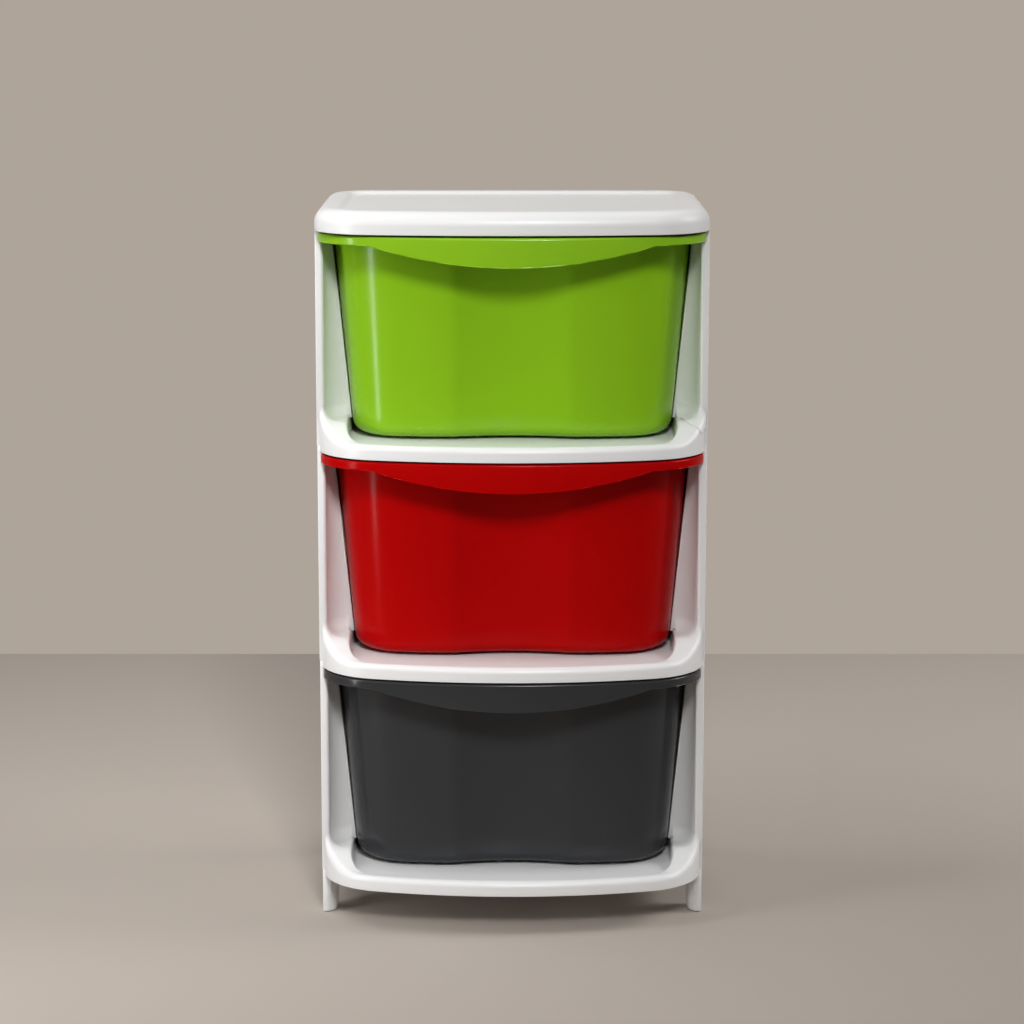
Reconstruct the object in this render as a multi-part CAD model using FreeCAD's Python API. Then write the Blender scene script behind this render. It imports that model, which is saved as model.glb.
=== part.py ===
"""Drawer tower: a white moulded frame of three tiers with three tapered drawers.

Millimetres. X to the right, the front faces -Y, Z up. The origin is on the ground,
under the middle of the tower.
"""
import FreeCAD
import Part

import math
import os
from collections import namedtuple

Vector = FreeCAD.Vector

# Whole tower
tower_width = 380.0
tower_depth = 285.0
tier_pitch = 215.0
foot_height = 39.0
tier_names = ("lower", "middle", "upper")

# General fits
seat_gap = 0.3
peg_clearance = 0.2
cut_overrun = 5.0
match_tolerance = 0.05

# Shelf tray with its bowed lip
bow_depth = 68.0
lip_set_in = 1.0
lip_corner_radius = 70.0
lip_bow_rise = 15.0
lip_crest = 1.2
lip_rounding = 6.0
lip_width = 12.0
floor_height = 13.0
floor_wall = 3.0
shelf_wall = 3.0
tray_side_gap = 3.5
tray_corner_radius = 34.0
tray_bow_rise = 13.5
tray_rear_radius = 20.0
tray_rear_border = 12.0
guide_height = 30.0
guide_ramp_start = 39.0
guide_ramp_length = 38.0
runner_height = 1.5
runner_width = 8.0
runner_spacing = 200.0
runner_rear_gap = 20.0
tongue_depth = 3.2
tongue_thickness = 5.0
tongue_end_gap = 8.0

# Side panels
panel_draft = 0.5
panel_wall = 2.5
panel_rear_radius = 40.0
panel_return = 10.0
post_width = 8.0
post_depth = 14.0
post_rounding = 0.9
post_inner_rounding = 3.2
cove_radius = 30.0
inner_wall = 2.2
drawer_side_gap = 0.8
ledge_gap = 1.5
rail_height = 16.0
joint_rise = 6.0
peg_thickness = 2.6
peg_length = 8.0
peg_height = 9.0

# Back panels
back_lap = 8.0
back_lap_wall = 2.0
back_lap_foot = 10.0

# Lid
lid_height = 22.0
lid_set_back = 4.5
lid_corner_radius = 62.0
lid_bow_rise = 10.0
lid_rear_radius = 42.0
lid_rounding = 14.0
lid_wall = 2.5
lid_border = 26.0
lid_recess = 3.0
lid_recess_rounding = 2.4
lid_boss_length = 18.0

# Drawers
rim_gap = 2.0
rim_inset = 0.6
rim_thickness = 2.5
rim_rounding = 1.6
rim_rear_gap = 5.0
rim_rear_radius = 36.0
rim_side_gap = 1.2
rim_post_gap = 0.8
skirt_height = 8.5
skirt_wall = 2.0
flap_drop = 19.5
flap_half_width = 136.0
finger_gap = 38.0
rim_overhang = 5.4
side_lean = 19.4
body_rear_corner_radius = 38.0
front_lean = 12.0
rear_lean = 9.0
rear_overhang = 10.0
dish_depth = 7.75
dish_share = 0.335
shoulder_share = 0.064
lobe_share = 0.32
lobe_drop = 4.0
drawer_wall = 2.2
drawer_floor = 2.5
drawer_rounding = 12.0

# Feet
foot_width = 16.0
foot_depth = 26.0
foot_band = 5.0
foot_nose_depth = 12.0
foot_nose_bulge = 2.0
foot_taper = 2.5
foot_rounding = 2.5

# Places worked out from the sizes above
tier_count = len(tier_names)
half_width = tower_width / 2
front_y = -tower_depth / 2
rear_y = tower_depth / 2
post_y = front_y + bow_depth
panel_rear_y = rear_y - panel_rear_radius
shelf_side_x = half_width - panel_draft - post_width - seat_gap
lip_height = floor_height + lip_crest
lid_bottom_z = foot_height + tier_count * tier_pitch
back_wall = panel_wall + peg_clearance
back_inner_y = rear_y - back_wall - back_lap_wall
shelf_rear_y = back_inner_y - seat_gap
shelf_rear_radius = panel_rear_radius - panel_wall
peg_x = half_width - (post_width + panel_draft) / 2
front_peg_y = post_y + post_depth / 2
rear_peg_y = panel_rear_y - post_depth / 2
rim_side_x = half_width - panel_draft - post_width - rim_side_gap
body_top_half_width = rim_side_x - rim_overhang
body_bottom_half_width = body_top_half_width - side_lean
tray_half_width = body_bottom_half_width + tray_side_gap
inner_wall_rear_y = panel_rear_y - post_depth

Plan = namedtuple("Plan", "half_width front_y rear_y corner_radius bow_rise rear_radius")

shelf_plan = Plan(half_width - lip_set_in, front_y, shelf_rear_y,
                  lip_corner_radius, lip_bow_rise, shelf_rear_radius)
tray_plan = Plan(tray_half_width, front_y + lip_width, shelf_rear_y - tray_rear_border,
                 tray_corner_radius, tray_bow_rise, tray_rear_radius)
lid_plan = Plan(half_width, front_y + lid_set_back, rear_y,
                lid_corner_radius, lid_bow_rise, lid_rear_radius)
rim_plan = Plan(shelf_plan.half_width - rim_inset, front_y + rim_inset, back_inner_y - rim_rear_gap,
                lip_corner_radius - rim_inset, lip_bow_rise, rim_rear_radius)
body_front_top_y = rim_plan.front_y + finger_gap
body_front_bottom_y = body_front_top_y + front_lean
body_rear_top_y = rim_plan.rear_y - rear_overhang
body_rear_bottom_y = body_rear_top_y - rear_lean


def shelf_z(tier):
    """Height of a shelf's underside."""
    return foot_height + tier * tier_pitch


def drawer_heights(tier):
    """Heights of a drawer's underside and of its rim's top."""
    return shelf_z(tier) + floor_height + runner_height + seat_gap, shelf_z(tier + 1) - rim_gap


def inset(plan, amount):
    """The same outline drawn a wall further in."""
    return Plan(plan.half_width - amount, plan.front_y + amount, plan.rear_y - amount,
                plan.corner_radius - amount, plan.bow_rise, plan.rear_radius - amount)


def line(start, end):
    return Part.LineSegment(start, end).toShape()


def arc(start, middle, end):
    return Part.Arc(start, middle, end).toShape()


def mirrored(point):
    return Vector(-point.x, point.y, point.z)


def corner_middle(centre, first, second, radius):
    """Middle point of the arc about centre between two of its points."""
    direction = (first - centre) + (second - centre)
    direction.normalize()
    return centre + direction * radius


def bowed_prism(plan, bottom_z, top_z):
    """Prism on an outline with a bowed front, round front corners and round rear corners."""
    corner = Vector(plan.half_width - plan.corner_radius,
                    plan.front_y + plan.bow_rise + plan.corner_radius, bottom_z)
    reach = plan.bow_rise + plan.corner_radius
    bow_radius = (corner.x ** 2 + reach ** 2 - plan.corner_radius ** 2) / (2 * plan.bow_rise)
    outward = corner - Vector(0, plan.front_y + bow_radius, bottom_z)
    outward.normalize()
    bow_end = corner + outward * plan.corner_radius
    side_start = Vector(plan.half_width, corner.y, bottom_z)
    side_end = Vector(plan.half_width, plan.rear_y - plan.rear_radius, bottom_z)
    rear_centre = Vector(plan.half_width - plan.rear_radius, side_end.y, bottom_z)
    rear_end = Vector(rear_centre.x, plan.rear_y, bottom_z)
    apex = Vector(0, plan.front_y, bottom_z)
    front_middle = corner_middle(corner, bow_end, side_start, plan.corner_radius)
    rear_middle = corner_middle(rear_centre, side_end, rear_end, plan.rear_radius)
    edges = [
        arc(mirrored(bow_end), apex, bow_end),
        arc(bow_end, front_middle, side_start),
        line(side_start, side_end),
        arc(side_end, rear_middle, rear_end),
        line(rear_end, mirrored(rear_end)),
        arc(mirrored(rear_end), mirrored(rear_middle), mirrored(side_end)),
        line(mirrored(side_end), mirrored(side_start)),
        arc(mirrored(side_start), mirrored(front_middle), mirrored(bow_end)),
    ]
    return Part.Face(Part.Wire(edges)).extrude(Vector(0, 0, top_z - bottom_z))


def box(x_range, y_range, z_range):
    """Box between two places on each axis."""
    sizes = [upper - lower for lower, upper in (x_range, y_range, z_range)]
    return Part.makeBox(*sizes, Vector(x_range[0], y_range[0], z_range[0]))


def between_panels(side_x, edge_y, plan, bottom_z, top_z):
    """Space that a bowed plate may fill: all that is ahead of edge_y, and a waist behind it."""
    ahead = box((-tower_width, tower_width), (-tower_depth, edge_y), (bottom_z, top_z))
    waist = box((-side_x, side_x), (-tower_depth, plan.rear_y), (bottom_z, top_z))
    waist = waist.makeFillet(plan.rear_radius, upright_edges(waist, edge_y))
    return ahead.fuse(waist)


def both_sides(solid):
    """A solid on the right and its mirror image on the left."""
    return [solid, solid.mirror(Vector(0, 0, 0), Vector(1, 0, 0))]


def edges_at_height(solid, height):
    """Edges that lie flat at one height."""
    boxes = [(edge, edge.BoundBox) for edge in solid.Edges]
    return [edge for edge, bounds in boxes
            if abs(bounds.ZMin - height) < match_tolerance and abs(bounds.ZMax - height) < match_tolerance]


def bow_edges(solid, height, apex_y):
    """The flat edge at one height that reaches furthest to the front."""
    return [edge for edge in edges_at_height(solid, height) if edge.BoundBox.YMin < apex_y + match_tolerance]


def upright_edges(solid, behind_y):
    """Vertical edges that stand behind a place."""
    boxes = [(edge, edge.BoundBox) for edge in solid.Edges if edge.BoundBox.YMin > behind_y]
    return [edge for edge, bounds in boxes
            if bounds.XLength < match_tolerance and bounds.YLength < match_tolerance]


def matching_edge(solid, wanted):
    """The edge of a changed solid that lies where an edge lay before."""
    return min(solid.Edges, key=lambda edge: edge.CenterOfMass.distanceToPoint(wanted.CenterOfMass))


def one_solid(shape):
    """The single solid of a clean boolean result."""
    clean = shape.removeSplitter()
    if len(clean.Solids) != 1:
        raise ValueError("a piece came out as %d solids" % len(clean.Solids))
    return clean.Solids[0]


def guide_ramp(bottom_z):
    """Prism whose top rises in an S from the lip to the height of the side guides."""
    start_y = post_y - guide_ramp_start
    end_y = start_y + guide_ramp_length
    low_z = bottom_z + lip_height
    high_z = bottom_z + guide_height
    rise = high_z - low_z
    radius = (guide_ramp_length ** 2 + rise ** 2) / (4 * rise)
    half_angle = math.asin(guide_ramp_length / 2 / radius) / 2
    middle = Vector(0, (start_y + end_y) / 2, (low_z + high_z) / 2)
    start = Vector(0, start_y, low_z)
    end = Vector(0, end_y, high_z)
    along = radius * math.sin(half_angle)
    up = radius * (1 - math.cos(half_angle))
    low_middle = Vector(0, start_y + along, low_z + up)
    high_middle = Vector(0, end_y - along, high_z - up)
    rear_top = Vector(0, shelf_rear_y, high_z)
    rear_bottom = Vector(0, shelf_rear_y, bottom_z)
    front_bottom = Vector(0, start_y, bottom_z)
    edges = [
        line(front_bottom, start),
        arc(start, low_middle, middle),
        arc(middle, high_middle, end),
        line(end, rear_top),
        line(rear_top, rear_bottom),
        line(rear_bottom, front_bottom),
    ]
    prism = Part.Face(Part.Wire(edges)).extrude(Vector(tower_width, 0, 0))
    prism.translate(Vector(-half_width, 0, 0))
    return prism


def make_shelf(tier):
    """Tray with a bowed lip, a recessed floor, side guides, runners and edge tongues."""
    bottom_z = shelf_z(tier)
    floor_z = bottom_z + floor_height
    guide_z = bottom_z + guide_height
    joint_z = bottom_z + joint_rise
    slab = bowed_prism(shelf_plan, bottom_z, bottom_z + lip_height)
    guides = bowed_prism(shelf_plan, bottom_z, guide_z).common(guide_ramp(bottom_z))
    tray = bowed_prism(tray_plan, floor_z, guide_z + cut_overrun)
    rear_way = box((-tray_half_width, tray_half_width), (0, rear_y),
                   (bottom_z + lip_height, guide_z + cut_overrun))
    body = slab.fuse(guides).removeSplitter()
    body = rounded_lip(body, bottom_z)
    body = body.cut([tray, rear_way])
    body = body.common(between_panels(shelf_side_x, post_y - seat_gap, shelf_plan, bottom_z, guide_z))
    hollow_plan = inset(shelf_plan, shelf_wall)
    hollow = bowed_prism(hollow_plan, bottom_z - cut_overrun, floor_z - floor_wall)
    body = body.cut(hollow.common(between_panels(shelf_side_x - shelf_wall, post_y - seat_gap - shelf_wall,
                                                 hollow_plan, bottom_z - cut_overrun, guide_z)))
    tongue = box((shelf_side_x - shelf_wall, shelf_side_x + tongue_depth),
                 (post_y + foot_depth + tongue_end_gap, panel_rear_y - foot_depth - tongue_end_gap),
                 (joint_z - tongue_thickness / 2, joint_z + tongue_thickness / 2))
    runner_x = runner_spacing / 2
    runner = box((runner_x - runner_width / 2, runner_x + runner_width / 2),
                 (body_front_bottom_y + drawer_rounding + dish_depth, tray_plan.rear_y - runner_rear_gap),
                 (floor_z - floor_wall / 2, floor_z + runner_height))
    return one_solid(body.fuse(both_sides(tongue) + both_sides(runner)))


def rounded_lip(body, bottom_z):
    """Round the outer top edge, from the lip up the ramps and along the guides."""
    return body.makeFillet(lip_rounding, bow_edges(body, bottom_z + lip_height, front_y))


def slanted_block(x_range, y_range, base_z, start, end, height):
    """Block that leans inwards with the right side panel, between two heights over the base."""
    slope = panel_draft / height
    corners = [(x_range[0], y_range[0]), (x_range[1], y_range[0]),
               (x_range[1], y_range[1]), (x_range[0], y_range[1])]
    points = [Vector(x - slope * start, y, base_z + start) for x, y in corners]
    face = Part.Face(Part.makePolygon(points + points[:1]))
    return face.extrude(Vector(slope * (start - end), 0, end - start))


def panel_section(base_z):
    """Plan of the right side panel: a front post, a thin wall and a rear corner with a return."""
    outer_x = half_width
    inner_x = outer_x - panel_wall
    bend = Vector(outer_x - panel_rear_radius, panel_rear_y, base_z)
    bend_inner_radius = panel_rear_radius - panel_wall
    diagonal = Vector(1, 1, 0) / math.sqrt(2)
    post_inner_x = outer_x - post_width
    post_rear_y = post_y + post_depth
    return_x = bend.x - panel_return
    points = [
        Vector(outer_x, post_y, base_z),
        Vector(outer_x, panel_rear_y, base_z),
        Vector(bend.x, rear_y, base_z),
        Vector(return_x, rear_y, base_z),
        Vector(return_x, rear_y - panel_wall, base_z),
        Vector(bend.x, rear_y - panel_wall, base_z),
        Vector(inner_x, panel_rear_y, base_z),
        Vector(inner_x, post_rear_y, base_z),
        Vector(post_inner_x, post_rear_y, base_z),
        Vector(post_inner_x, post_y, base_z),
    ]
    bends = {1: bend + diagonal * panel_rear_radius, 5: bend + diagonal * bend_inner_radius}
    edges = []
    for index, start in enumerate(points):
        end = points[(index + 1) % len(points)]
        edges.append(arc(start, bends[index], end) if index in bends else line(start, end))
    return Part.Face(Part.Wire(edges))


def cove_section(base_z, wall):
    """Plan of the space between post, cove and outer wall on the right, drawn in by a wall."""
    outer_x = half_width - panel_wall
    cove = Vector(half_width - post_width - cove_radius, post_y + post_inner_rounding, base_z)
    radius = cove_radius + wall
    start = Vector(cove.x + radius, cove.y, base_z)
    end = Vector(cove.x, cove.y + radius, base_z)
    rear = inner_wall_rear_y - wall
    corners = [end, Vector(cove.x, rear, base_z), Vector(outer_x, rear, base_z),
               Vector(outer_x, cove.y, base_z), start]
    edges = [arc(start, corner_middle(cove, start, end, radius), end)]
    edges += [line(begin, finish) for begin, finish in zip(corners, corners[1:])]
    return Part.Face(Part.Wire(edges))


def drawer_way(tier, gap):
    """Space that a drawer's tapered body and a gap beside it need, all the way along its travel."""
    low_z, high_z = drawer_heights(tier)
    points = [Vector(-body_bottom_half_width - gap, -tower_depth, low_z),
              Vector(body_bottom_half_width + gap, -tower_depth, low_z),
              Vector(body_top_half_width + gap, -tower_depth, high_z),
              Vector(-body_top_half_width - gap, -tower_depth, high_z)]
    return Part.Face(Part.makePolygon(points + points[:1])).extrude(Vector(0, 2 * tower_depth, 0))


def inner_skin(tier, base_z, lean):
    """Cove behind the right post and the wall beside the drawer, closed on top by a ledge under its rim."""
    low_z = shelf_z(tier) + guide_height + seat_gap
    high_z = drawer_heights(tier)[1] - skirt_height - ledge_gap
    outside = cove_section(base_z, 0).extrude(lean).cut(drawer_way(tier, drawer_side_gap))
    inside = cove_section(base_z, inner_wall).extrude(lean)
    inside = inside.cut(drawer_way(tier, drawer_side_gap + inner_wall))
    reach = (-tower_width, tower_width)
    outside = outside.common(box(reach, reach, (low_z, high_z)))
    return outside.cut(inside.common(box(reach, reach, (low_z - cut_overrun, high_z - inner_wall))))


def peg(y, bottom_z, clearance, height):
    """Flat peg on the right, or with a clearance the socket for it."""
    return box((peg_x - peg_thickness / 2 - clearance, peg_x + peg_thickness / 2 + clearance),
               (y - peg_length / 2 - clearance, y + peg_length / 2 + clearance),
               (bottom_z, bottom_z + height))


def make_right_panel(tier):
    """Side panel with rails at both ends, sockets below, pegs on top and a rebate for each shelf edge."""
    base_z = shelf_z(tier) + joint_rise
    is_top = tier == tier_count - 1
    top_z = lid_bottom_z if is_top else base_z + tier_pitch
    height = top_z - base_z
    lean = Vector(-panel_draft, 0, height)
    wall = panel_section(base_z).extrude(lean)
    long_edges = [edge for edge in wall.Edges
                  if edge.BoundBox.YMax < post_y + match_tolerance and edge.BoundBox.ZLength > rail_height]
    inner_edge, outer_edge = sorted(long_edges, key=lambda edge: edge.BoundBox.XMax)
    wall = wall.makeFillet(post_rounding, [outer_edge])
    wall = wall.makeFillet(post_inner_rounding, [matching_edge(wall, inner_edge)])
    rail_x = (half_width - post_width, half_width - panel_wall / 2)
    rail_y = (post_y + post_depth / 2, panel_rear_y)
    rails = [slanted_block(rail_x, rail_y, base_z, 0, rail_height, height),
             slanted_block(rail_x, rail_y, base_z, height - rail_height, height, height)]
    panel = wall.fuse(rails + [inner_skin(tier, base_z, lean)])
    rebate_x = (shelf_side_x - cut_overrun, shelf_side_x + tongue_depth + seat_gap)
    rebate_y = (post_y + foot_depth + tongue_end_gap / 2, panel_rear_y - foot_depth - tongue_end_gap / 2)
    half_tongue = tongue_thickness / 2
    cuts = [box(rebate_x, rebate_y, (base_z - cut_overrun, base_z + half_tongue))]
    if not is_top:
        cuts.append(box(rebate_x, rebate_y, (top_z - half_tongue, top_z + cut_overrun)))
    pegs = []
    for y in (front_peg_y, rear_peg_y):
        cuts.append(peg(y, base_z, peg_clearance, peg_height + peg_clearance))
        pegs.append(peg(y, top_z - peg_height, 0, 2 * peg_height))
    return one_solid(panel.cut(cuts).fuse(pegs))


def back_plate(reach, y_range, base_z, height):
    """Upright plate that narrows upwards with the side panels."""
    top_reach = reach - panel_draft
    points = [Vector(-reach, y_range[0], base_z), Vector(reach, y_range[0], base_z),
              Vector(top_reach, y_range[0], base_z + height), Vector(-top_reach, y_range[0], base_z + height)]
    face = Part.Face(Part.makePolygon(points + points[:1]))
    return face.extrude(Vector(0, y_range[1] - y_range[0], 0))


def make_back(tier):
    """Back panel that fills the space between the side panels and laps behind them."""
    base_z = shelf_z(tier) + joint_rise
    top_z = lid_bottom_z if tier == tier_count - 1 else base_z + tier_pitch
    height = top_z - base_z
    reach = half_width - panel_rear_radius - panel_return - peg_clearance
    plate = back_plate(reach, (rear_y - back_wall, rear_y), base_z, height)
    lap_y = (back_inner_y, rear_y - back_wall)
    laps = back_plate(reach + back_lap, lap_y, base_z, height)
    laps = laps.cut(back_plate(reach - back_lap_foot, lap_y, base_z, height))
    return one_solid(plate.fuse(laps))


def make_lid():
    """Lid with a round edge, a recessed top and four bosses that take the panel pegs."""
    top_z = lid_bottom_z + lid_height
    recess_z = top_z - lid_recess
    ceiling_z = recess_z - lid_wall
    shell = bowed_prism(lid_plan, lid_bottom_z, top_z)
    shell = shell.makeFillet(lid_rounding, edges_at_height(shell, top_z))
    recess = bowed_prism(inset(lid_plan, lid_border), recess_z, top_z + cut_overrun)
    recess = recess.makeFillet(lid_recess_rounding, edges_at_height(recess, recess_z))
    hollow = bowed_prism(inset(lid_plan, lid_wall), lid_bottom_z - cut_overrun, ceiling_z)
    hollow = hollow.makeFillet(lid_rounding - lid_wall, edges_at_height(hollow, ceiling_z))
    boss_x = (half_width - panel_draft - post_width, half_width - lid_wall / 2)
    bosses = []
    sockets = []
    for y in (front_peg_y, rear_peg_y):
        block = box(boss_x, (y - lid_boss_length / 2, y + lid_boss_length / 2), (lid_bottom_z, ceiling_z))
        bosses += both_sides(block.common(shell))
        sockets += both_sides(peg(y, lid_bottom_z, peg_clearance, peg_height + peg_clearance))
    return one_solid(shell.cut([recess, hollow]).fuse(bosses).cut(sockets))


def foot_section(z, inner_x, outer_x):
    """Plan of the front right foot: a flat front band and a bulging inner nose."""
    band_x = outer_x - foot_band
    nose_y = post_y + foot_nose_depth
    foot_rear_y = post_y + foot_depth
    chord = Vector(inner_x - band_x, foot_nose_depth, 0)
    sideways = Vector(-foot_nose_depth, inner_x - band_x, 0)
    sideways.normalize()
    band_end = Vector(band_x, post_y, z)
    nose_end = Vector(inner_x, nose_y, z)
    nose_middle = band_end + chord / 2 + sideways * foot_nose_bulge
    corners = [Vector(inner_x, foot_rear_y, z), Vector(outer_x, foot_rear_y, z), Vector(outer_x, post_y, z)]
    edges = [arc(band_end, nose_middle, nose_end), line(nose_end, corners[0]),
             line(corners[0], corners[1]), line(corners[1], corners[2]), line(corners[2], band_end)]
    return Part.Wire(edges)


def make_front_right_foot():
    """Foot that carries the bottom shelf and reaches up beside it to the side panel."""
    joint_z = foot_height + joint_rise
    outer_x = half_width - panel_draft
    inner_x = outer_x - foot_width
    leg = Part.makeLoft([foot_section(0, inner_x + foot_taper, outer_x),
                         foot_section(foot_height, inner_x, outer_x)], True, True)
    leg = leg.makeFillet(foot_rounding, edges_at_height(leg, 0))
    ear = box((shelf_side_x + seat_gap, outer_x), (post_y, post_y + foot_depth), (foot_height / 2, joint_z))
    pin = peg(front_peg_y, foot_height, 0, joint_rise + peg_height)
    return one_solid(leg.fuse([ear.cut(leg), pin]))


def turned(centre, radius, angle):
    """Point of a circle in plan, at an angle that opens from straight ahead to the right."""
    return centre + Vector(math.sin(angle), -math.cos(angle), 0) * radius


def body_wire(z, half, front, rear, rear_radius):
    """Plan of a drawer body: a hollow dish between two full lobes, wide front corners, round rear corners."""
    dish_width = dish_share * body_bottom_half_width
    shoulder_width = shoulder_share * body_bottom_half_width
    lobe_width = lobe_share * body_bottom_half_width
    crest_x = dish_width + shoulder_width
    dish_angle = 2 * math.atan(dish_depth / crest_x)
    lobe_angle = 2 * math.atan(lobe_drop / lobe_width)
    shoulder_radius = shoulder_width / math.sin(dish_angle)
    lobe_radius = lobe_width / math.sin(lobe_angle)
    corner_radius = (half - crest_x - lobe_width) / (1 - math.sin(lobe_angle))
    dish_middle = Vector(0, front + dish_depth, z)
    shoulder_centre = Vector(crest_x, front + shoulder_radius, z)
    lobe_centre = Vector(crest_x, front + lobe_radius, z)
    dish_end = turned(shoulder_centre, shoulder_radius, -dish_angle)
    shoulder_middle = turned(shoulder_centre, shoulder_radius, -dish_angle / 2)
    crest = Vector(crest_x, front, z)
    lobe_middle = turned(lobe_centre, lobe_radius, lobe_angle / 2)
    lobe_end = turned(lobe_centre, lobe_radius, lobe_angle)
    corner = turned(lobe_end, -corner_radius, lobe_angle)
    corner_middle_angle = (lobe_angle + math.pi / 2) / 2
    side_start = Vector(half, corner.y, z)
    side_end = Vector(half, rear - rear_radius, z)
    rear_centre = Vector(half - rear_radius, side_end.y, z)
    rear_end = Vector(rear_centre.x, rear, z)
    rear_middle = corner_middle(rear_centre, side_end, rear_end, rear_radius)
    right_half = [
        (dish_end, shoulder_middle, crest),
        (crest, lobe_middle, lobe_end),
        (lobe_end, turned(corner, corner_radius, corner_middle_angle), side_start),
        (side_start, None, side_end),
        (side_end, rear_middle, rear_end),
    ]
    left_half = [tuple(mirrored(point) if point else None for point in reversed(stretch))
                 for stretch in reversed(right_half)]
    outline = [(mirrored(dish_end), dish_middle, dish_end)] + right_half
    outline += [(rear_end, None, mirrored(rear_end))] + left_half
    return Part.Wire([arc(begin, middle, finish) if middle else line(begin, finish)
                      for begin, middle, finish in outline])


def body_loft(wall, bottom_z, base_z, top_z):
    """Tapered drawer body from base_z up, drawn in by a wall, with the taper measured from bottom_z."""
    share = (base_z - bottom_z) / (top_z - bottom_z)

    def between(low, high):
        return low + (high - low) * share

    base_half = between(body_bottom_half_width, body_top_half_width)
    base_front = between(body_front_bottom_y, body_front_top_y)
    base_rear = between(body_rear_bottom_y, body_rear_top_y)
    radius = body_rear_corner_radius - wall
    top_half = body_top_half_width - wall
    base = body_wire(base_z, base_half - wall, base_front + wall, base_rear - wall, radius)
    top = body_wire(top_z, top_half, body_front_top_y + wall, body_rear_top_y - wall, radius)
    loft = Part.makeLoft([base, top], True, True)
    return loft.makeFillet(drawer_rounding - wall, edges_at_height(loft, base_z))


def rim_prism(wall, bottom_z, top_z):
    """Prism on the rim's outline drawn in by a wall, narrower where it passes between the posts."""
    plan = inset(rim_plan, wall)
    space = between_panels(rim_side_x - wall, post_y - rim_post_gap - wall, plan, bottom_z, top_z)
    return bowed_prism(plan, bottom_z, top_z).common(space)


def flap_shape(skirt_z):
    """Prism, seen from the front a segment of a circle, that shapes the hanging handle flap."""
    start = Vector(-flap_half_width, front_y - cut_overrun, skirt_z)
    middle = Vector(0, start.y, skirt_z - flap_drop)
    edges = [arc(start, middle, mirrored(start)), line(mirrored(start), start)]
    return Part.Face(Part.Wire(edges)).extrude(Vector(0, bow_depth, 0))


def make_drawer(tier):
    """Tapered tub, and on its edge a flat rim with a skirt all round and a crescent flap to pull it by."""
    bottom_z, top_z = drawer_heights(tier)
    plate_z = top_z - rim_thickness
    skirt_z = top_z - skirt_height
    flap_z = skirt_z - flap_drop
    reach = (-tower_width, tower_width)
    body = body_loft(0, bottom_z, bottom_z, top_z)
    cavity = body_loft(drawer_wall, bottom_z, bottom_z + drawer_floor, top_z)
    tub = body.cut(cavity).common(box(reach, reach, (bottom_z, plate_z)))
    rim = rim_prism(0, flap_z, top_z)
    rim = rim.makeFillet(rim_rounding, bow_edges(rim, top_z, rim_plan.front_y))
    below_skirt = box(reach, reach, (flap_z - cut_overrun, skirt_z)).cut(flap_shape(skirt_z))
    inside = rim_prism(skirt_wall, flap_z - cut_overrun, plate_z)
    rim = rim.cut([below_skirt, inside, cavity])
    return one_solid(tub), one_solid(rim)


def export(solid, name):
    if not solid.isValid():
        raise ValueError(name + " is not a valid solid")
    solid.exportStep("parts/" + name + ".step")


def main():
    os.makedirs("parts", exist_ok=True)
    shelf_names = ("bottom", "middle", "upper")
    across = (Vector(0, 0, 0), Vector(1, 0, 0))
    for tier, name in enumerate(tier_names):
        export(make_shelf(tier), "shelf_" + shelf_names[tier])
        right_panel = make_right_panel(tier)
        export(right_panel, "right_panel_" + name)
        export(right_panel.mirror(*across), "left_panel_" + name)
        export(make_back(tier), "back_panel_" + name)
        tub, rim = make_drawer(tier)
        export(tub, "drawer_tub_" + name)
        export(rim, "handle_rim_" + name)
    export(make_lid(), "top_lid")
    front_foot = make_front_right_foot()
    rear_foot = front_foot.mirror(Vector(0, (post_y + panel_rear_y) / 2, 0), Vector(0, 1, 0))
    for place, foot in (("front", front_foot), ("rear", rear_foot)):
        export(foot, "foot_" + place + "_right")
        export(foot.mirror(*across), "foot_" + place + "_left")


main()
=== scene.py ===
import math
from collections import namedtuple

import bmesh
import bpy
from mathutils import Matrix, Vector


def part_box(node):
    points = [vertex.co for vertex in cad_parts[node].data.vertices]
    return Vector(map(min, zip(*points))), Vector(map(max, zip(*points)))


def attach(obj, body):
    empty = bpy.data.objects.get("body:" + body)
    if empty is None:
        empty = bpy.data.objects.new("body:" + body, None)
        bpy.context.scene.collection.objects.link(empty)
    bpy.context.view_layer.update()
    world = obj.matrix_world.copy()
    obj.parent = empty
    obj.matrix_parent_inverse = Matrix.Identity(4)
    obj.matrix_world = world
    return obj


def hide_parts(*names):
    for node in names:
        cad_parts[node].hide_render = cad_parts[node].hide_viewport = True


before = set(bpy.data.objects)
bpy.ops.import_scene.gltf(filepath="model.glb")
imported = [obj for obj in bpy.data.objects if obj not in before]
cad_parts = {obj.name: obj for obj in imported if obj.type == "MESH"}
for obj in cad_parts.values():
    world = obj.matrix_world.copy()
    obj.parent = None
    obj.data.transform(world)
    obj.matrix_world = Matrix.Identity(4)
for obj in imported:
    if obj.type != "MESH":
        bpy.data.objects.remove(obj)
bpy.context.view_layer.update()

# Places read from the frame
tier_names = ("lower", "middle", "upper")
shelf_names = ("bottom", "middle", "upper")
lid_low, lid_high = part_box("top_lid")
tray_low, tray_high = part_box("shelf_bottom")
half_width = lid_high.x
post_front_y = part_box("foot_front_left")[0].y

# Finish of the mouldings; a hair is the least that keeps two places apart
hair = 2e-6
edge_round = 0.0005
edge_round_steps = 2
edge_support = 0.0012
sharp_angle = math.radians(32)
flat_angle = math.radians(0.2)

# Steps of the outlines and of the round edges
bow_steps = 28
corner_steps = 20
side_steps = 16
rear_corner_steps = 10
rear_steps = 8
round_steps = 6
border_rows = 7
tub_rows = 10

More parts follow.
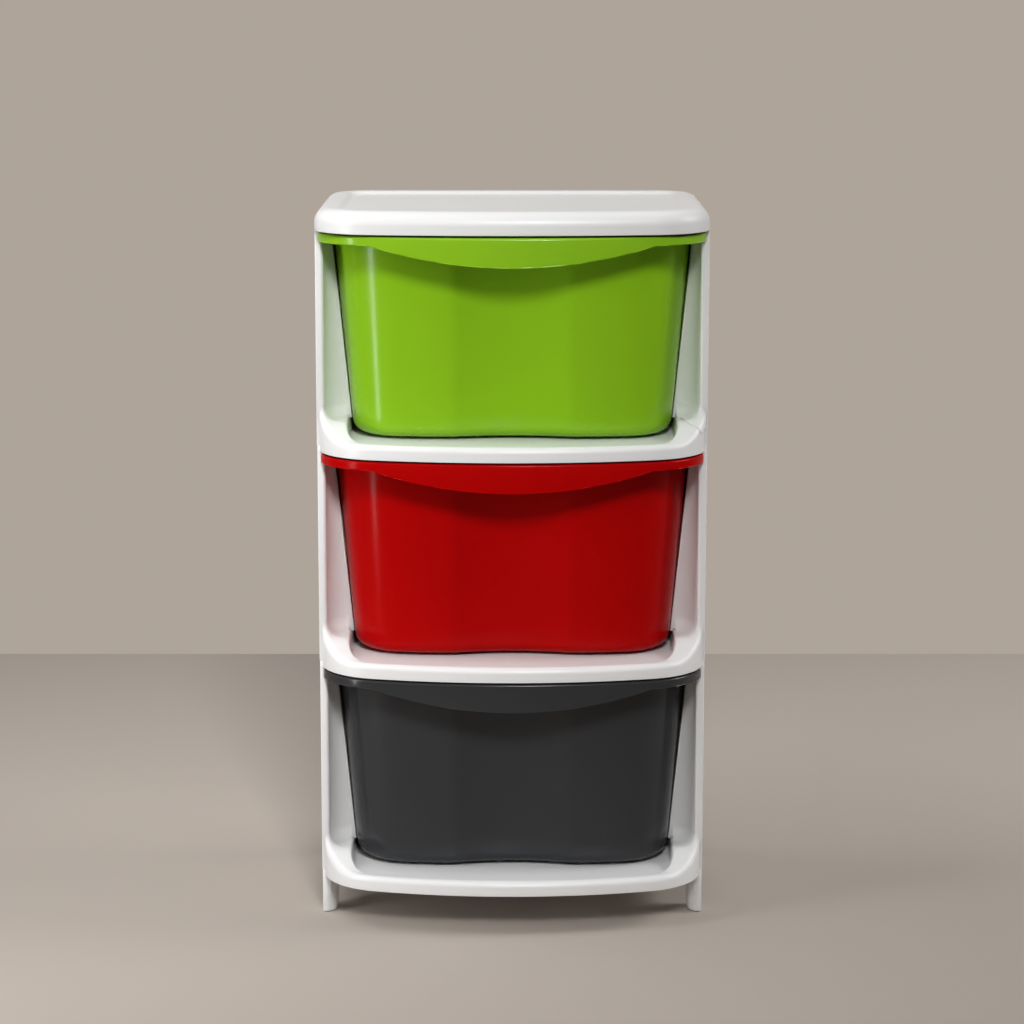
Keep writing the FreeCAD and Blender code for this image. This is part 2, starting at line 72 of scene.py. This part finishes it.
# Lid
lid_corner = 0.062
lid_bow_rise = 0.010
lid_rear_corner = 0.042
lid_round = 0.014
lid_border = 0.0225
lid_slope_run = 0.0070
lid_recess = 0.003
lid_wall = 0.0025
gate_mark_radius = 0.0032
gate_mark_height = 0.0003
gate_mark_steps = 32
gate_mark_y = -0.023

# Shelves
lip_set_in = 0.001
lip_corner = 0.070
lip_bow_rise = 0.015
lip_round = 0.006
lip_width = 0.012
lip_height = 0.0142
shelf_floor = 0.013
shelf_wall = 0.0025
shelf_rear_corner = 0.0375
tray_half = 0.159
tray_corner = 0.034
tray_bow_rise = 0.0135
tray_rear_border = 0.012
tray_rear_corner = 0.020
tray_top_round = 0.0024
tray_foot_round = 0.003
tray_draft = 0.0005
guide_height = 0.030
guide_rise_start = 0.039
guide_rise_length = 0.038
guide_rear_fade = (0.100, 0.140)
panel_gap = 0.0003
shelf_side_x = 0.1812
runner_x = 0.100
runner_width = 0.008
runner_height = 0.0015
runner_front_y = -0.050
runner_rear_y = 0.105

# Flare where a shelf runs up into the posts and coves
post_inner_x = 0.18193
post_inner_round = 0.0032
cove_radius = 0.030
flare_radius = 0.014
flare_outer_x = 0.1866
flare_face_steps = 4
flare_wall = 0.0012
flare_sink = 0.0001
flare_skirt = 0.0015

# Ribs that line the opening behind the coves; the front is given at the foot and at the top
rib_gap = 0.0004
rib_width = 0.005
rib_front_y = (-0.041, -0.050)
rib_rear_y = 0.020
rib_end_gap = 0.002

# Drawers
rim_set_in = 0.0016
rim_round = 0.0022
rim_rear_corner = 0.036
rim_side_x = 0.1803
rim_post_gap = 0.0008
skirt_height = 0.0085
flap_half = 0.136
flap_drop = 0.0195
finger_gap = 0.038
tub_wall = 0.002
tub_top_half = 0.1749
tub_bottom_half = 0.1555
tub_front_lean = 0.012
tub_rear_overhang = 0.010
tub_rear_lean = 0.009
tub_rear_corner = 0.038
tub_round = 0.012
tub_floor = 0.0025
dish_depth = 0.00775
dish_reach = 0.0521
shoulder_reach = 0.00995
lobe_reach = 0.04976
lobe_drop = 0.004

# Plastic: scale and detail of each noise, the band of a noise that shows, depth of the skin
cloud_noise = (9, 4)
haze_noise = (42, 6)
grain_noise = (700, 2)
noise_band = (0.3, 0.7)
grain_depth = 0.0002

# Studio
floor_colour = (0.445, 0.394, 0.349, 1)
floor_roughness = 0.7
floor_reach = 5
floor_rear_y = 1.015
sky_colour = (0.92, 0.9, 0.88, 1)
sky_strength = 0.08
backdrop_colour = (0.423, 0.371, 0.323, 1)

# Lamps: name, place, target, spread of the grid in degrees, width, height, watts
lamps = (
    ("strip_softbox", (-0.95, -0.55, 0.55), (-0.1, -0.05, 0.4), 180, 0.12, 1.0, 3.6),
    ("key_softbox", (-2.3, -1.2, 0.95), (0, 0, 0.35), 180, 1.0, 1.8, 5),
    ("front_left_softbox", (-0.75, -1.5, 1.55), (-0.1, 0, 0.35), 180, 0.7, 0.7, 1.6),
    ("front_softbox", (0.2, -2.8, 2.5), (-0.36, 0, 0.33), 36, 0.7, 0.7, 3.45),
    ("top_softbox", (-1.2, -0.1, 2.3), (0, 0, 0.35), 180, 1.4, 1.4, 23),
    ("floor_softbox", (2.2, 0.1, 1.7), (1.0, 0.6, 0), 100, 1.0, 1.0, 14),
)

# Camera; its tilt is counted from straight down, sensor and lens are in millimetres
camera_sensor = 36
camera_lens = 100.58
camera_shift_x = -0.0002
camera_place = (0, -2.817, 0.937)
camera_tilt = math.radians(79.10)

Plan = namedtuple("Plan", "half front rear corner rise rear_corner")

lid_plan = Plan(half_width - hair, lid_low.y + hair, lid_high.y - hair,
                lid_corner, lid_bow_rise, lid_rear_corner)
lip_plan = Plan(half_width - lip_set_in, tray_low.y, tray_high.y,
                lip_corner, lip_bow_rise, shelf_rear_corner)
tray_plan = Plan(tray_half, tray_low.y + lip_width, tray_high.y - tray_rear_border,
                 tray_corner, tray_bow_rise, tray_rear_corner)
lip_centre_x = lip_plan.half - lip_plan.corner
lip_centre_y = lip_plan.front + lip_plan.rise + lip_plan.corner


def rim_plan(tier):
    """Outline of a drawer's rim."""
    low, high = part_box("handle_rim_" + tier)
    return Plan(half_width - rim_set_in, low.y, high.y,
                lip_corner - lip_set_in, lip_bow_rise, rim_rear_corner)


def inset(plan, amount):
    """The same outline drawn further in."""
    return Plan(plan.half - amount, plan.front + amount, plan.rear - amount,
                plan.corner - amount, plan.rise, plan.rear_corner - amount)


def blend(first, second, share):
    """Outline part of the way from one outline to another."""
    return Plan(*(a + (b - a) * share for a, b in zip(first, second)))


def sweep(bm, tip, centre, angle, steps):
    """Carry the tip of an outline round a centre in plan and return the new tip."""
    spun = bmesh.ops.spin(bm, geom=[tip], cent=centre, axis=(0, 0, 1), angle=angle, steps=steps)
    return next(item for item in spun["geom_last"] if isinstance(item, bmesh.types.BMVert))


def run(bm, tip, place, steps):
    """Carry the tip of an outline straight to a place in equal steps and return the new tip."""
    stride = (Vector(place) - tip.co) / steps
    for _ in range(steps):
        tip = bmesh.ops.extrude_vert_indiv(bm, verts=[tip])["verts"][0]
        tip.co += stride
    return tip


def chain(bm, places):
    """Draw a line through places and return its edges."""
    tip = bm.verts.new(places[0])
    edges = []
    for place in places[1:]:
        grown = bmesh.ops.extrude_vert_indiv(bm, verts=[tip])
        tip = grown["verts"][0]
        tip.co = place
        edges += grown["edges"]
    return edges


def close_rear(bm, tip, half, rear, corner, z):
    """Side, rear corner and rear of the right half of an outline."""
    tip = run(bm, tip, (half, rear - corner, z), side_steps)
    tip = sweep(bm, tip, (half - corner, rear - corner, z), math.pi / 2, rear_corner_steps)
    run(bm, tip, (0, rear, z), rear_steps)


def draw_bowed_half(bm, plan, z):
    """Right half of an outline with a bowed front and round corners."""
    corner_x = plan.half - plan.corner
    reach = plan.rise + plan.corner
    bow_radius = (corner_x ** 2 + reach ** 2 - plan.corner ** 2) / (2 * plan.rise)
    bow_angle = math.atan2(corner_x, bow_radius - reach)
    corner_angle = math.pi / 2 - bow_angle
    tip = bm.verts.new((0, plan.front, z))
    tip = sweep(bm, tip, (0, plan.front + bow_radius, z), bow_angle, bow_steps)
    tip = sweep(bm, tip, (corner_x, plan.front + reach, z), corner_angle, corner_steps)
    close_rear(bm, tip, plan.half, plan.rear, plan.rear_corner, z)


def draw_tub_half(bm, half, front, rear, rear_corner, z):
    """Right half of a drawer's outline: a hollow dish, a shoulder, a full lobe, a wide corner."""
    crest_x = dish_reach + shoulder_reach
    dish_angle = 2 * math.atan(dish_depth / crest_x)
    lobe_angle = 2 * math.atan(lobe_drop / lobe_reach)
    dish_radius = dish_reach / math.sin(dish_angle)
    shoulder_radius = shoulder_reach / math.sin(dish_angle)
    lobe_radius = lobe_reach / math.sin(lobe_angle)
    corner = (half - crest_x - lobe_reach) / (1 - math.sin(lobe_angle))
    corner_x = half - corner
    corner_y = front + lobe_drop + corner * math.cos(lobe_angle)
    dish_steps = bow_steps // 2
    shoulder_steps = bow_steps // 4
    lobe_steps = bow_steps - dish_steps - shoulder_steps
    tip = bm.verts.new((0, front + dish_depth, z))
    tip = sweep(bm, tip, (0, front + dish_depth - dish_radius, z), -dish_angle, dish_steps)
    tip = sweep(bm, tip, (crest_x, front + shoulder_radius, z), dish_angle, shoulder_steps)
    tip = sweep(bm, tip, (crest_x, front + lobe_radius, z), lobe_angle, lobe_steps)
    tip = sweep(bm, tip, (corner_x, corner_y, z), math.pi / 2 - lobe_angle, corner_steps)
    close_rear(bm, tip, half, rear, rear_corner, z)


def corners_of(loop):
    """The vertices of a loop of edges."""
    return {vert for edge in loop for vert in edge.verts}


def draw_loop(bm, draw_half, *facts):
    """Draw the right half of an outline, mirror it and return the edges of the closed loop."""
    known = set(bm.edges)
    draw_half(bm, *facts)
    half = [edge for edge in bm.edges if edge not in known]
    bmesh.ops.mirror(bm, geom=[*corners_of(half), *half], axis="X", merge_dist=hair)
    return [edge for edge in bm.edges if edge not in known]


def bridge(bm, rows):
    """Cover the stretch between each row of edges and the next with faces."""
    for first, second in zip(rows, rows[1:]):
        bmesh.ops.bridge_loops(bm, edges=[*first, *second])


def skin(bm, loops):
    """Cover the stretches between closed loops with faces and close the last one."""
    bridge(bm, loops)
    bmesh.ops.edgeloop_fill(bm, edges=loops[-1])


def face_up(bm):
    """Turn all faces the same way, with the widest one up."""
    bmesh.ops.recalc_face_normals(bm, faces=bm.faces)
    widest = max(bm.faces, key=lambda face: face.calc_area())
    if widest.normal.z < 0:
        bmesh.ops.reverse_faces(bm, faces=bm.faces)


def quarter(steps):
    """Angles of a quarter turn."""
    return [math.pi / 2 * step / steps for step in range(steps + 1)]


def eased(share):
    """Smooth step from 0 to 1."""
    share = min(max(share, 0), 1)
    return share * share * (3 - 2 * share)


def narrow_between_posts(bm, step_y, side_x):
    """Draw a plate in where it passes between the posts, with a square step ahead of them."""
    for y in (step_y, step_y + hair):
        geometry = [*bm.verts, *bm.edges, *bm.faces]
        bmesh.ops.bisect_plane(bm, geom=geometry, dist=hair / 10,
                               plane_co=(0, y, 0), plane_no=(0, 1, 0))
    for vert in bm.verts:
        if vert.co.y > step_y + hair / 2:
            vert.co.x = min(max(vert.co.x, -side_x), side_x)
    bmesh.ops.remove_doubles(bm, verts=bm.verts, dist=2 * hair)


def finish_piece(bm, name, material, body, nodes, wall=0, rounding=edge_round):
    """Make a moulded piece of a bmesh, with a wall under its skin and soft edges."""
    for face in bm.faces:
        face.smooth = True
    mesh = bpy.data.meshes.new(name)
    bm.to_mesh(mesh)
    bm.free()
    mesh.materials.append(material)
    piece = bpy.data.objects.new(name, mesh)
    bpy.context.scene.collection.objects.link(piece)
    if wall:
        thickness = piece.modifiers.new("wall", "SOLIDIFY")
        thickness.thickness = wall
        thickness.offset = -1
        thickness.use_even_offset = True
        thickness.use_quality_normals = True
    if rounding:
        soft_edges = piece.modifiers.new("soft_edges", "BEVEL")
        soft_edges.width = rounding
        soft_edges.segments = edge_round_steps
        soft_edges.limit_method = "ANGLE"
        soft_edges.angle_limit = sharp_angle
    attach(piece, body)
    if nodes:
        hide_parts(*nodes)


def build_lid(material):
    """Lid with a round edge and a top that dips in a soft slope to a flat recess."""
    bm = bmesh.new()
    rows = [(0, lid_low.z), (0, lid_low.z + edge_support)]
    for angle in quarter(2 * round_steps):
        rows.append((lid_round * (1 - math.cos(angle)),
                     lid_high.z - lid_round * (1 - math.sin(angle))))
    for step in range(round_steps + 1):
        share = step / round_steps
        rows.append((lid_border + lid_slope_run * share, lid_high.z - lid_recess * eased(share)))
    skin(bm, [draw_loop(bm, draw_bowed_half, inset(lid_plan, amount), z) for amount, z in rows])
    face_up(bm)
    finish_piece(bm, "lid_moulding", material, "frame", ["top_lid"], lid_wall)


def guide_rise(place):
    """How far the shelf's border stands above its front lip at a place in plan."""
    start_y = post_front_y - guide_rise_start
    rise = (guide_height - lip_height) * eased((place.y - start_y) / guide_rise_length)
    if place.y > 0:
        near, far = guide_rear_fade
        rise *= eased((abs(place.x) - near) / (far - near))
    return rise


def raise_border(loop, base_z, lip_share, round_share):
    """Set the heights of one row of the shelf's border over its floor."""
    for vert in corners_of(loop):
        depth = lip_height - shelf_floor + guide_rise(vert.co)
        squeeze = min(1, depth / (tray_top_round + tray_foot_round))
        vert.co.z = base_z + shelf_floor + depth * lip_share + squeeze * round_share


def build_shelf(tier, material):
    """Shelf whose round lip climbs at both sides to the guides beside its sunk floor."""
    node = "shelf_" + shelf_names[tier]
    base_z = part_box(node)[0].z
    bm = bmesh.new()

    def shelf_loop(plan):
        return draw_loop(bm, draw_bowed_half, plan, base_z)

    loops = [draw_loop(bm, draw_bowed_half, lip_plan, base_z + lift) for lift in (0, edge_support)]
    for angle in quarter(round_steps):
        loop = shelf_loop(inset(lip_plan, lip_round * (1 - math.cos(angle))))
        drop = lip_round * (1 - math.sin(angle))
        for vert in corners_of(loop):
            vert.co.z = base_z + lip_height + guide_rise(vert.co) - drop
        loops.append(loop)
    lip_inside = inset(lip_plan, lip_round)
    tray_outside = inset(tray_plan, -tray_top_round - tray_draft)
    for row in range(1, border_rows):
        loop = shelf_loop(blend(lip_inside, tray_outside, row / border_rows))
        raise_border(loop, base_z, 1, 0)
        loops.append(loop)
    for angle in quarter(round_steps):
        loop = shelf_loop(inset(tray_plan, tray_top_round * (math.sin(angle) - 1) - tray_draft))
        raise_border(loop, base_z, 1, tray_top_round * (math.cos(angle) - 1))
        loops.append(loop)
    for angle in quarter(round_steps):
        loop = shelf_loop(inset(tray_plan, tray_foot_round * (1 - math.cos(angle)) + tray_draft))
        raise_border(loop, base_z, 0, tray_foot_round * (1 - math.sin(angle)))
        loops.append(loop)
    skin(bm, loops)
    narrow_between_posts(bm, post_front_y - panel_gap, shelf_side_x)
    face_up(bm)
    finish_piece(bm, node + "_tray", material, "frame", [node], shelf_wall)


def border_height(place):
    """Height of a shelf's border over its underside, with the drop of its round outer edge."""
    away_x = place.x - lip_centre_x
    away_y = place.y - lip_centre_y
    depth = lip_plan.corner - math.hypot(away_x, min(away_y, 0))
    short = lip_round - min(max(depth, 0), lip_round)
    return lip_height + guide_rise(place) - lip_round + math.sqrt(lip_round ** 2 - short ** 2)


def flare_columns():
    """Place, outward direction and reach of the flare along the right post and its cove."""
    post = Vector((post_inner_x + post_inner_round, post_front_y + post_inner_round, 0))
    cove = Vector((post_inner_x - cove_radius, post.y, 0))
    corner = Vector((lip_centre_x, lip_centre_y, 0))
    to_corner = corner - post
    columns = []
    for step in range(flare_face_steps):
        foot_x = flare_outer_x + (post.x - flare_outer_x) * step / flare_face_steps
        foot = Vector((foot_x, post_front_y, 0))
        room = math.sqrt(lip_plan.corner ** 2 - (foot.x - corner.x) ** 2) - corner.y + foot.y
        columns.append((foot, Vector((0, -1, 0)), min(flare_radius, room)))
    for turn in quarter(corner_steps):
        outward = Vector((-math.sin(turn), -math.cos(turn), 0))
        along = outward.dot(to_corner)
        to_edge = math.sqrt(along ** 2 + lip_plan.corner ** 2 - to_corner.length_squared)
        room = along + to_edge - post_inner_round
        columns.append((post + outward * post_inner_round, outward, min(flare_radius, room)))
    tray_side_x = tray_plan.half + tray_top_round + tray_draft
    last_turn = math.acos((tray_side_x - cove.x) / cove_radius)
    for step in range(1, corner_steps + 1):
        turn = last_turn * math.sin(math.pi / 2 * step / (corner_steps + 1))
        outward = Vector((-math.cos(turn), -math.sin(turn), 0))
        foot = cove - outward * cove_radius
        room = (foot.x - tray_side_x) / math.cos(turn)
        columns.append((foot, outward, min(flare_radius, room)))
    return columns


def build_flares(tier, material):
    """Soft curves that carry a shelf's border up into the posts and coves at its ends."""
    node = "shelf_" + shelf_names[tier]
    base_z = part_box(node)[0].z
    columns = flare_columns()
    bm = bmesh.new()
    rows = []
    for angle in quarter(2 * round_steps):
        places = []
        for foot, outward, reach in columns:
            away = reach * (1 - math.cos(angle))
            place = foot + outward * away
            place.z = base_z + border_height(place) - flare_sink
            place.z += flare_radius - math.sqrt(flare_radius ** 2 - (flare_radius - away) ** 2)
            places.append(place)
        rows.append(chain(bm, places))
    # The last row again, lower, as a skirt inside the shelf's wall
    for place in places:
        place.z = base_z + border_height(place) - flare_skirt
    rows.append(chain(bm, places))
    bridge(bm, rows)
    face_up(bm)
    for edge in bm.edges:
        edge.smooth = not edge.is_boundary and edge not in rows[-2]
    right = set(bm.faces)
    bmesh.ops.mirror(bm, geom=[*bm.verts, *bm.edges, *bm.faces], axis="X", merge_dist=0)
    left = [face for face in bm.faces if face not in right]
    if sum(face.normal.z for face in left) < 0:
        bmesh.ops.reverse_faces(bm, faces=left)
    finish_piece(bm, node + "_flares", material, "frame", [], flare_wall, 0)


def bar(bm, low, high):
    """Box between two corners."""
    low, high = Vector(low), Vector(high)
    made = bmesh.ops.create_cube(bm, size=1)["verts"]
    bmesh.ops.scale(bm, vec=high - low, verts=made)
    bmesh.ops.translate(bm, vec=(low + high) / 2, verts=made)


def build_runners(tier, material):
    """Two low bars on a shelf's floor that a drawer slides on."""
    node = "shelf_" + shelf_names[tier]
    floor_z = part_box(node)[0].z + shelf_floor
    bm = bmesh.new()
    for x in (-runner_x, runner_x):
        bar(bm, (x - runner_width / 2, runner_front_y, floor_z - shelf_wall / 2),
            (x + runner_width / 2, runner_rear_y, floor_z + runner_height))
    finish_piece(bm, node + "_runners", material, "frame", [])


def tub_half(share):
    """Half width of a drawer's tub at a share of its height."""
    return tub_bottom_half + (tub_top_half - tub_bottom_half) * share


def build_ribs(tier, material):
    """Ribs that follow the sloping sides of a drawer just behind the coves."""
    node = "shelf_" + shelf_names[tier]
    bottom_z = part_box("drawer_tub_" + tier_names[tier])[0].z
    top_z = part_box("handle_rim_" + tier_names[tier])[1].z
    low_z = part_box(node)[0].z + guide_height - rib_end_gap
    high_z = top_z - skirt_height - rib_end_gap
    bm = bmesh.new()
    rings = []
    for z, front_y in zip((low_z, high_z), rib_front_y):
        inner_x = tub_half((z - bottom_z) / (top_z - bottom_z)) + rib_gap
        outer_x = inner_x + rib_width
        plan = ((inner_x, front_y), (outer_x, front_y), (outer_x, rib_rear_y), (inner_x, rib_rear_y))
        rings.append([bm.verts.new((x, y, z)) for x, y in plan])
    low, high = rings
    bm.faces.new(low)
    bm.faces.new(high)
    for step in range(len(low)):
        bm.faces.new((low[step - 1], low[step], high[step], high[step - 1]))
    bmesh.ops.mirror(bm, geom=[*bm.verts, *bm.edges, *bm.faces], axis="X", merge_dist=0)
    bmesh.ops.recalc_face_normals(bm, faces=bm.faces)
    finish_piece(bm, node + "_ribs", material, "frame", [])


def build_gate_mark(material):
    """Small round scar of the moulding gate in the middle of the lid."""
    bm = bmesh.new()
    made = bmesh.ops.create_cone(bm, cap_ends=True, segments=gate_mark_steps,
                                 radius1=gate_mark_radius,
                                 radius2=gate_mark_radius - gate_mark_height,
                                 depth=2 * gate_mark_height)["verts"]
    bmesh.ops.translate(bm, vec=(0, gate_mark_y, lid_high.z - lid_recess), verts=made)
    finish_piece(bm, "lid_gate_mark", material, "frame", [])


def flap_depth(x):
    """How far the handle flap hangs below the skirt."""
    if abs(x) >= flap_half:
        return 0
    radius = (flap_half ** 2 + flap_drop ** 2) / (2 * flap_drop)
    return max(0, math.sqrt(radius ** 2 - x ** 2) - (radius - flap_drop))


def build_drawer(tier, material):
    """Tapered tub whose edge turns out to a flat rim with a skirt and a crescent handle flap."""
    tub_node, rim_node = "drawer_tub_" + tier, "handle_rim_" + tier
    bottom_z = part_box(tub_node)[0].z
    top_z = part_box(rim_node)[1].z
    plan = rim_plan(tier)
    top_front = plan.front + finger_gap
    top_rear = plan.rear - tub_rear_overhang
    foot = tub_round - tub_wall
    bm = bmesh.new()

    def tub_loop(height, amount):
        share = height / (top_z - bottom_z)
        half = tub_half(share) - amount
        front = top_front + tub_front_lean * (1 - share) + amount
        rear = top_rear - tub_rear_lean * (1 - share) - amount
        corner = tub_rear_corner - amount
        return draw_loop(bm, draw_tub_half, half, front, rear, corner, bottom_z + height)

    loops = [draw_loop(bm, draw_bowed_half, plan, top_z - skirt_height + lift)
             for lift in (0, edge_support)]
    for vert in bm.verts:
        if vert.co.y < post_front_y:
            vert.co.z -= flap_depth(vert.co.x)
    for angle in quarter(round_steps):
        rim_row = inset(plan, rim_round * (1 - math.cos(angle)))
        rim_z = top_z - rim_round * (1 - math.sin(angle))
        loops.append(draw_loop(bm, draw_bowed_half, rim_row, rim_z))
    for angle in quarter(round_steps):
        height = top_z - bottom_z - rim_round * (1 - math.cos(angle))
        loops.append(tub_loop(height, tub_wall - rim_round * (1 - math.sin(angle))))
    upper = top_z - bottom_z - rim_round
    lower = tub_floor + foot
    for row in range(1, tub_rows):
        loops.append(tub_loop(upper + (lower - upper) * row / tub_rows, tub_wall))
    for angle in quarter(round_steps):
        height = tub_floor + foot * (1 - math.sin(angle))
        loops.append(tub_loop(height, tub_wall + foot * (1 - math.cos(angle))))
    skin(bm, loops)
    narrow_between_posts(bm, post_front_y - rim_post_gap, rim_side_x)
    face_up(bm)
    finish_piece(bm, "drawer_" + tier + "_moulding", material, "drawer_" + tier,
                 [tub_node, rim_node], tub_wall)


def soften_frame_parts(names, material):
    """Copies of the flat mouldings with their long edges rounded."""
    for name in names:
        bm = bmesh.new()
        bm.from_mesh(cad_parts[name].data)
        bmesh.ops.remove_doubles(bm, verts=bm.verts, dist=hair)
        bmesh.ops.dissolve_limit(bm, angle_limit=flat_angle, verts=bm.verts, edges=bm.edges)
        finish_piece(bm, name + "_moulding", material, "frame", [name])


def moulded_plastic(name, colour, cloud, gloss, haze, shine, grain):
    """Injection moulded plastic: faint cloudiness, uneven gloss and the fine skin of the mould."""
    material = bpy.data.materials.new(name)
    material.use_nodes = True
    nodes, links = material.node_tree.nodes, material.node_tree.links
    shader = nodes["Principled BSDF"]
    shader.inputs["Specular IOR Level"].default_value = shine
    place = nodes.new("ShaderNodeTexCoord")

    def noise(scale, detail):
        texture = nodes.new("ShaderNodeTexNoise")
        texture.inputs["Scale"].default_value = scale
        texture.inputs["Detail"].default_value = detail
        links.new(place.outputs["Object"], texture.inputs["Vector"])
        return texture.outputs["Fac"]

    band_start, band_end = noise_band
    tone = nodes.new("ShaderNodeValToRGB")
    dim, full = tone.color_ramp.elements
    dim.position = band_start
    full.position = band_end
    dim.color = (*(part * (1 - cloud) for part in colour), 1)
    full.color = (*colour, 1)
    links.new(noise(*cloud_noise), tone.inputs["Fac"])
    links.new(tone.outputs["Color"], shader.inputs["Base Color"])
    sheen = nodes.new("ShaderNodeMapRange")
    sheen.inputs["From Min"].default_value = band_start
    sheen.inputs["From Max"].default_value = band_end
    sheen.inputs["To Min"].default_value = gloss
    sheen.inputs["To Max"].default_value = gloss + haze
    links.new(noise(*haze_noise), sheen.inputs["Value"])
    links.new(sheen.outputs["Result"], shader.inputs["Roughness"])
    skin_bump = nodes.new("ShaderNodeBump")
    skin_bump.inputs["Strength"].default_value = grain
    skin_bump.inputs["Distance"].default_value = grain_depth
    links.new(noise(*grain_noise), skin_bump.inputs["Height"])
    links.new(skin_bump.outputs["Normal"], shader.inputs["Normal"])
    return material


def lay_floor():
    """Pale floor that ends behind the tower, where the backdrop shows."""
    material = bpy.data.materials.new("studio_floor")
    material.use_nodes = True
    shader = material.node_tree.nodes["Principled BSDF"]
    shader.inputs["Base Color"].default_value = floor_colour
    shader.inputs["Roughness"].default_value = floor_roughness
    bm = bmesh.new()
    corners = ((-floor_reach, -floor_reach, 0), (floor_reach, -floor_reach, 0),
               (floor_reach, floor_rear_y, 0), (-floor_reach, floor_rear_y, 0))
    bm.faces.new([bm.verts.new(place) for place in corners])
    mesh = bpy.data.meshes.new("studio_floor")
    bm.to_mesh(mesh)
    bm.free()
    mesh.materials.append(material)
    floor = bpy.data.objects.new("studio_floor", mesh)
    bpy.context.scene.collection.objects.link(floor)


def softbox(name, place, target, spread, width, height, power):
    """Rectangular lamp that looks at a target, with the spread of its grid in degrees."""
    lamp = bpy.data.lights.new(name, "AREA")
    lamp.shape = "RECTANGLE"
    lamp.size = width
    lamp.size_y = height
    lamp.spread = math.radians(spread)
    lamp.energy = power
    light = bpy.data.objects.new(name, lamp)
    light.location = place
    light.rotation_euler = (Vector(target) - Vector(place)).to_track_quat("-Z", "Y").to_euler()
    bpy.context.scene.collection.objects.link(light)


def set_backdrop():
    """Dim sky that lights the object, and a plain backdrop that is seen and mirrored."""
    world = bpy.data.worlds.new("studio_dusk")
    world.use_nodes = True
    nodes, links = world.node_tree.nodes, world.node_tree.links
    sky = nodes["Background"]
    sky.inputs["Color"].default_value = sky_colour
    sky.inputs["Strength"].default_value = sky_strength
    backdrop = nodes.new("ShaderNodeBackground")
    backdrop.inputs["Color"].default_value = backdrop_colour
    ray = nodes.new("ShaderNodeLightPath")
    seen = ray.outputs["Is Camera Ray"]
    for kind in ("Is Glossy Ray", "Is Transmission Ray"):
        either = nodes.new("ShaderNodeMath")
        either.operation = "MAXIMUM"
        links.new(seen, either.inputs[0])
        links.new(ray.outputs[kind], either.inputs[1])
        seen = either.outputs["Value"]
    mix = nodes.new("ShaderNodeMixShader")
    links.new(seen, mix.inputs["Fac"])
    links.new(sky.outputs["Background"], mix.inputs[1])
    links.new(backdrop.outputs["Background"], mix.inputs[2])
    links.new(mix.outputs["Shader"], nodes["World Output"].inputs["Surface"])
    bpy.context.scene.world = world


def set_camera():
    """Camera at the photograph's angle, with colours shown as they are written."""
    camera = bpy.data.cameras.new("camera")
    camera.sensor_width = camera_sensor
    camera.lens = camera_lens
    camera.shift_x = camera_shift_x
    eye = bpy.data.objects.new("camera", camera)
    eye.location = camera_place
    eye.rotation_euler = (camera_tilt, 0, 0)
    bpy.context.scene.collection.objects.link(eye)
    bpy.context.scene.camera = eye
    bpy.context.scene.view_settings.view_transform = "Standard"


white = moulded_plastic("white_polypropylene", (0.80, 0.80, 0.80),
                        cloud=0.02, gloss=0.30, haze=0.06, shine=0.35, grain=0.03)
lime = moulded_plastic("lime_polypropylene", (0.24, 0.50, 0.010),
                       cloud=0.05, gloss=0.15, haze=0.06, shine=0.28, grain=0.05)
red = moulded_plastic("red_polypropylene", (0.42, 0.0010, 0.0012),
                      cloud=0.06, gloss=0.15, haze=0.06, shine=0.06, grain=0.05)
grey = moulded_plastic("grey_polypropylene", (0.031, 0.0325, 0.0355),
                       cloud=0.08, gloss=0.16, haze=0.06, shine=0.28, grain=0.05)
build_lid(white)
build_gate_mark(white)
for tier in range(len(shelf_names)):
    build_shelf(tier, white)
    build_flares(tier, white)
    build_runners(tier, white)
    build_ribs(tier, white)
for tier, material, slot in (("lower", grey, "drawer_grey"), ("middle", red, "drawer_red"),
                             ("upper", lime, "drawer_lime")):
    build_drawer(tier, material)
flat_parts = [side + "_panel_" + tier for side in ("left", "right", "back") for tier in tier_names]
flat_parts += ["foot_" + place + "_" + side
               for place in ("front", "rear") for side in ("left", "right")]
soften_frame_parts(flat_parts, white)
lay_floor()
for lamp in lamps:
    softbox(*lamp)
set_backdrop()
set_camera()
